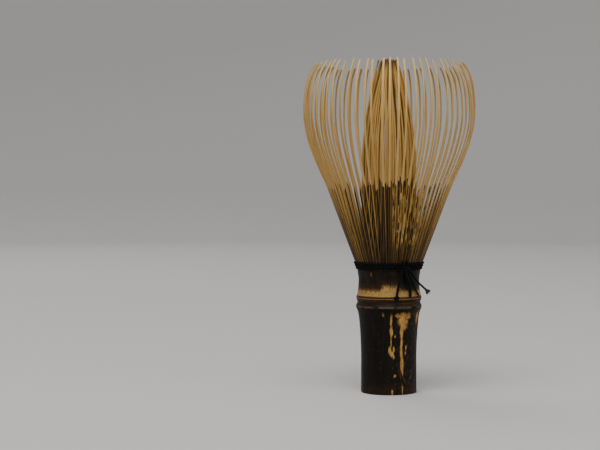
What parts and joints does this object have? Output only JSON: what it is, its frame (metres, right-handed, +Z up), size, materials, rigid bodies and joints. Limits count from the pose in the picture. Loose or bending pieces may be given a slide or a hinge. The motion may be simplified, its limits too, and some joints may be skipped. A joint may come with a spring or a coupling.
{
  "type": "bamboo tea whisk",
  "caption": "Whisk of black bamboo: a hollow node-ringed handle whose wall is split into a flaring basket of thin curled tines round a closed inner bundle, laced with thread.",
  "frame": {"origin": "centre of the handle's foot, on the surface that the whisk stands on", "axes": "+Z up the whisk from the handle to the tips, -Y the side where the lacing's knot and tails hang, a little towards +X"},
  "size_m": [0.062, 0.062, 0.1195],
  "materials": {
    "black_bamboo": "waxy natural skin, near-black brown with a few pale bare patches",
    "outer_bamboo": "split and shaved bamboo, straw coloured, with black skin on the lower part",
    "inner_bamboo": "split and shaved bamboo, golden brown",
    "black_thread": "matt twisted cotton"
  },
  "bodies": {
    "culm": {"culm": "black_bamboo", "lacing_round_lower": "black_thread", "lacing_round_middle": "black_thread", "lacing_round_upper": "black_thread", "lacing_inside_lower": "black_thread", "lacing_inside_upper": "black_thread", "lacing_knot": "black_thread", "tail_knotted": "black_thread", "tail_thick": "black_thread", "tail_thin": "black_thread", "tail_brushed": "black_thread"},
    "outer_tines_01": {"outer_tines_01": "outer_bamboo"},
    "outer_tines_02": {"outer_tines_02": "outer_bamboo"},
    "outer_tines_03": {"outer_tines_03": "outer_bamboo"},
    "outer_tines_04": {"outer_tines_04": "outer_bamboo"},
    "outer_tines_05": {"outer_tines_05": "outer_bamboo"},
    "outer_tines_06": {"outer_tines_06": "outer_bamboo"},
    "outer_tines_07": {"outer_tines_07": "outer_bamboo"},
    "outer_tines_08": {"outer_tines_08": "outer_bamboo"},
    "outer_tines_09": {"outer_tines_09": "outer_bamboo"},
    "outer_tines_10": {"outer_tines_10": "outer_bamboo"},
    "outer_tines_11": {"outer_tines_11": "outer_bamboo"},
    "outer_tines_12": {"outer_tines_12": "outer_bamboo"},
    "outer_tines_13": {"outer_tines_13": "outer_bamboo"},
    "outer_tines_14": {"outer_tines_14": "outer_bamboo"},
    "outer_tines_15": {"outer_tines_15": "outer_bamboo"},
    "outer_tines_16": {"outer_tines_16": "outer_bamboo"},
    "inner_tines_01": {"inner_tines_01": "inner_bamboo"},
    "inner_tines_02": {"inner_tines_02": "inner_bamboo"},
    "inner_tines_03": {"inner_tines_03": "inner_bamboo"},
    "inner_tines_04": {"inner_tines_04": "inner_bamboo"},
    "inner_tines_05": {"inner_tines_05": "inner_bamboo"},
    "inner_tines_06": {"inner_tines_06": "inner_bamboo"},
    "inner_tines_07": {"inner_tines_07": "inner_bamboo"},
    "inner_tines_08": {"inner_tines_08": "inner_bamboo"},
    "inner_tines_09": {"inner_tines_09": "inner_bamboo"},
    "inner_tines_10": {"inner_tines_10": "inner_bamboo"},
    "inner_tines_11": {"inner_tines_11": "inner_bamboo"},
    "inner_tines_12": {"inner_tines_12": "inner_bamboo"},
    "inner_tines_13": {"inner_tines_13": "inner_bamboo"},
    "inner_tines_14": {"inner_tines_14": "inner_bamboo"},
    "inner_tines_15": {"inner_tines_15": "inner_bamboo"},
    "inner_tines_16": {"inner_tines_16": "inner_bamboo"}
  },
  "joints": [
    {"name": "outer_flex_01", "type": "hinge", "parent": "culm", "child": "outer_tines_01", "pos_m": [0.0114, 0, 0.0462], "axis": [0, 1, 0], "range_deg": [-3.5, 6], "stiffness_Nm_per_rad": 0.02},
    {"name": "outer_flex_02", "type": "hinge", "parent": "culm", "child": "outer_tines_02", "pos_m": [0.01053, 0.00436, 0.0462], "axis": [-0.3827, 0.9239, 0], "range_deg": [-3.5, 6], "stiffness_Nm_per_rad": 0.02},
    {"name": "outer_flex_03", "type": "hinge", "parent": "culm", "child": "outer_tines_03", "pos_m": [0.00806, 0.00806, 0.0462], "axis": [-0.7071, 0.7071, 0], "range_deg": [-3.5, 6], "stiffness_Nm_per_rad": 0.02},
    {"name": "outer_flex_04", "type": "hinge", "parent": "culm", "child": "outer_tines_04", "pos_m": [0.00436, 0.01053, 0.0462], "axis": [-0.9239, 0.3827, 0], "range_deg": [-3.5, 6], "stiffness_Nm_per_rad": 0.02},
    {"name": "outer_flex_05", "type": "hinge", "parent": "culm", "child": "outer_tines_05", "pos_m": [0, 0.0114, 0.0462], "axis": [-1, 0, 0], "range_deg": [-3.5, 6], "stiffness_Nm_per_rad": 0.02},
    {"name": "outer_flex_06", "type": "hinge", "parent": "culm", "child": "outer_tines_06", "pos_m": [-0.00436, 0.01053, 0.0462], "axis": [-0.9239, -0.3827, 0], "range_deg": [-3.5, 6], "stiffness_Nm_per_rad": 0.02},
    {"name": "outer_flex_07", "type": "hinge", "parent": "culm", "child": "outer_tines_07", "pos_m": [-0.00806, 0.00806, 0.0462], "axis": [-0.7071, -0.7071, 0], "range_deg": [-3.5, 6], "stiffness_Nm_per_rad": 0.02},
    {"name": "outer_flex_08", "type": "hinge", "parent": "culm", "child": "outer_tines_08", "pos_m": [-0.01053, 0.00436, 0.0462], "axis": [-0.3827, -0.9239, 0], "range_deg": [-3.5, 6], "stiffness_Nm_per_rad": 0.02},
    {"name": "outer_flex_09", "type": "hinge", "parent": "culm", "child": "outer_tines_09", "pos_m": [-0.0114, 0, 0.0462], "axis": [0, -1, 0], "range_deg": [-3.5, 6], "stiffness_Nm_per_rad": 0.02},
    {"name": "outer_flex_10", "type": "hinge", "parent": "culm", "child": "outer_tines_10", "pos_m": [-0.01053, -0.00436, 0.0462], "axis": [0.3827, -0.9239, 0], "range_deg": [-3.5, 6], "stiffness_Nm_per_rad": 0.02},
    {"name": "outer_flex_11", "type": "hinge", "parent": "culm", "child": "outer_tines_11", "pos_m": [-0.00806, -0.00806, 0.0462], "axis": [0.7071, -0.7071, 0], "range_deg": [-3.5, 6], "stiffness_Nm_per_rad": 0.02},
    {"name": "outer_flex_12", "type": "hinge", "parent": "culm", "child": "outer_tines_12", "pos_m": [-0.00436, -0.01053, 0.0462], "axis": [0.9239, -0.3827, 0], "range_deg": [-3.5, 6], "stiffness_Nm_per_rad": 0.02},
    {"name": "outer_flex_13", "type": "hinge", "parent": "culm", "child": "outer_tines_13", "pos_m": [0, -0.0114, 0.0462], "axis": [1, 0, 0], "range_deg": [-3.5, 6], "stiffness_Nm_per_rad": 0.02},
    {"name": "outer_flex_14", "type": "hinge", "parent": "culm", "child": "outer_tines_14", "pos_m": [0.00436, -0.01053, 0.0462], "axis": [0.9239, 0.3827, 0], "range_deg": [-3.5, 6], "stiffness_Nm_per_rad": 0.02},
    {"name": "outer_flex_15", "type": "hinge", "parent": "culm", "child": "outer_tines_15", "pos_m": [0.00806, -0.00806, 0.0462], "axis": [0.7071, 0.7071, 0], "range_deg": [-3.5, 6], "stiffness_Nm_per_rad": 0.02},
    {"name": "outer_flex_16", "type": "hinge", "parent": "culm", "child": "outer_tines_16", "pos_m": [0.01053, -0.00436, 0.0462], "axis": [0.3827, 0.9239, 0], "range_deg": [-3.5, 6], "stiffness_Nm_per_rad": 0.02},
    {"name": "inner_flex_01", "type": "hinge", "parent": "culm", "child": "inner_tines_01", "pos_m": [0.00939, 0.00046, 0.0462], "axis": [-0.0491, 0.9988, 0], "range_deg": [0, 5], "stiffness_Nm_per_rad": 0.02},
    {"name": "inner_flex_02", "type": "hinge", "parent": "culm", "child": "inner_tines_02", "pos_m": [0.0085, 0.00402, 0.0462], "axis": [-0.4276, 0.904, 0], "range_deg": [0, 5], "stiffness_Nm_per_rad": 0.02},
    {"name": "inner_flex_03", "type": "hinge", "parent": "culm", "child": "inner_tines_03", "pos_m": [0.00631, 0.00696, 0.0462], "axis": [-0.741, 0.6716, 0], "range_deg": [0, 5], "stiffness_Nm_per_rad": 0.02},
    {"name": "inner_flex_04", "type": "hinge", "parent": "culm", "child": "inner_tines_04", "pos_m": [0.00317, 0.00885, 0.0462], "axis": [-0.9415, 0.3369, 0], "range_deg": [0, 5], "stiffness_Nm_per_rad": 0.02},
    {"name": "inner_flex_05", "type": "hinge", "parent": "culm", "child": "inner_tines_05", "pos_m": [-0.00046, 0.00939, 0.0462], "axis": [-0.9988, -0.0491, 0], "range_deg": [0, 5], "stiffness_Nm_per_rad": 0.02},
    {"name": "inner_flex_06", "type": "hinge", "parent": "culm", "child": "inner_tines_06", "pos_m": [-0.00402, 0.0085, 0.0462], "axis": [-0.904, -0.4276, 0], "range_deg": [0, 5], "stiffness_Nm_per_rad": 0.02},
    {"name": "inner_flex_07", "type": "hinge", "parent": "culm", "child": "inner_tines_07", "pos_m": [-0.00696, 0.00631, 0.0462], "axis": [-0.6716, -0.741, 0], "range_deg": [0, 5], "stiffness_Nm_per_rad": 0.02},
    {"name": "inner_flex_08", "type": "hinge", "parent": "culm", "child": "inner_tines_08", "pos_m": [-0.00885, 0.00317, 0.0462], "axis": [-0.3369, -0.9415, 0], "range_deg": [0, 5], "stiffness_Nm_per_rad": 0.02},
    {"name": "inner_flex_09", "type": "hinge", "parent": "culm", "child": "inner_tines_09", "pos_m": [-0.00939, -0.00046, 0.0462], "axis": [0.0491, -0.9988, 0], "range_deg": [0, 5], "stiffness_Nm_per_rad": 0.02},
    {"name": "inner_flex_10", "type": "hinge", "parent": "culm", "child": "inner_tines_10", "pos_m": [-0.0085, -0.00402, 0.0462], "axis": [0.4276, -0.904, 0], "range_deg": [0, 5], "stiffness_Nm_per_rad": 0.02},
    {"name": "inner_flex_11", "type": "hinge", "parent": "culm", "child": "inner_tines_11", "pos_m": [-0.00631, -0.00696, 0.0462], "axis": [0.741, -0.6716, 0], "range_deg": [0, 5], "stiffness_Nm_per_rad": 0.02},
    {"name": "inner_flex_12", "type": "hinge", "parent": "culm", "child": "inner_tines_12", "pos_m": [-0.00317, -0.00885, 0.0462], "axis": [0.9415, -0.3369, 0], "range_deg": [0, 5], "stiffness_Nm_per_rad": 0.02},
    {"name": "inner_flex_13", "type": "hinge", "parent": "culm", "child": "inner_tines_13", "pos_m": [0.00046, -0.00939, 0.0462], "axis": [0.9988, 0.0491, 0], "range_deg": [0, 5], "stiffness_Nm_per_rad": 0.02},
    {"name": "inner_flex_14", "type": "hinge", "parent": "culm", "child": "inner_tines_14", "pos_m": [0.00402, -0.0085, 0.0462], "axis": [0.904, 0.4276, 0], "range_deg": [0, 5], "stiffness_Nm_per_rad": 0.02},
    {"name": "inner_flex_15", "type": "hinge", "parent": "culm", "child": "inner_tines_15", "pos_m": [0.00696, -0.00631, 0.0462], "axis": [0.6716, 0.741, 0], "range_deg": [0, 5], "stiffness_Nm_per_rad": 0.02},
    {"name": "inner_flex_16", "type": "hinge", "parent": "culm", "child": "inner_tines_16", "pos_m": [0.00885, -0.00317, 0.0462], "axis": [0.3369, 0.9415, 0], "range_deg": [0, 5], "stiffness_Nm_per_rad": 0.02}
  ]
}
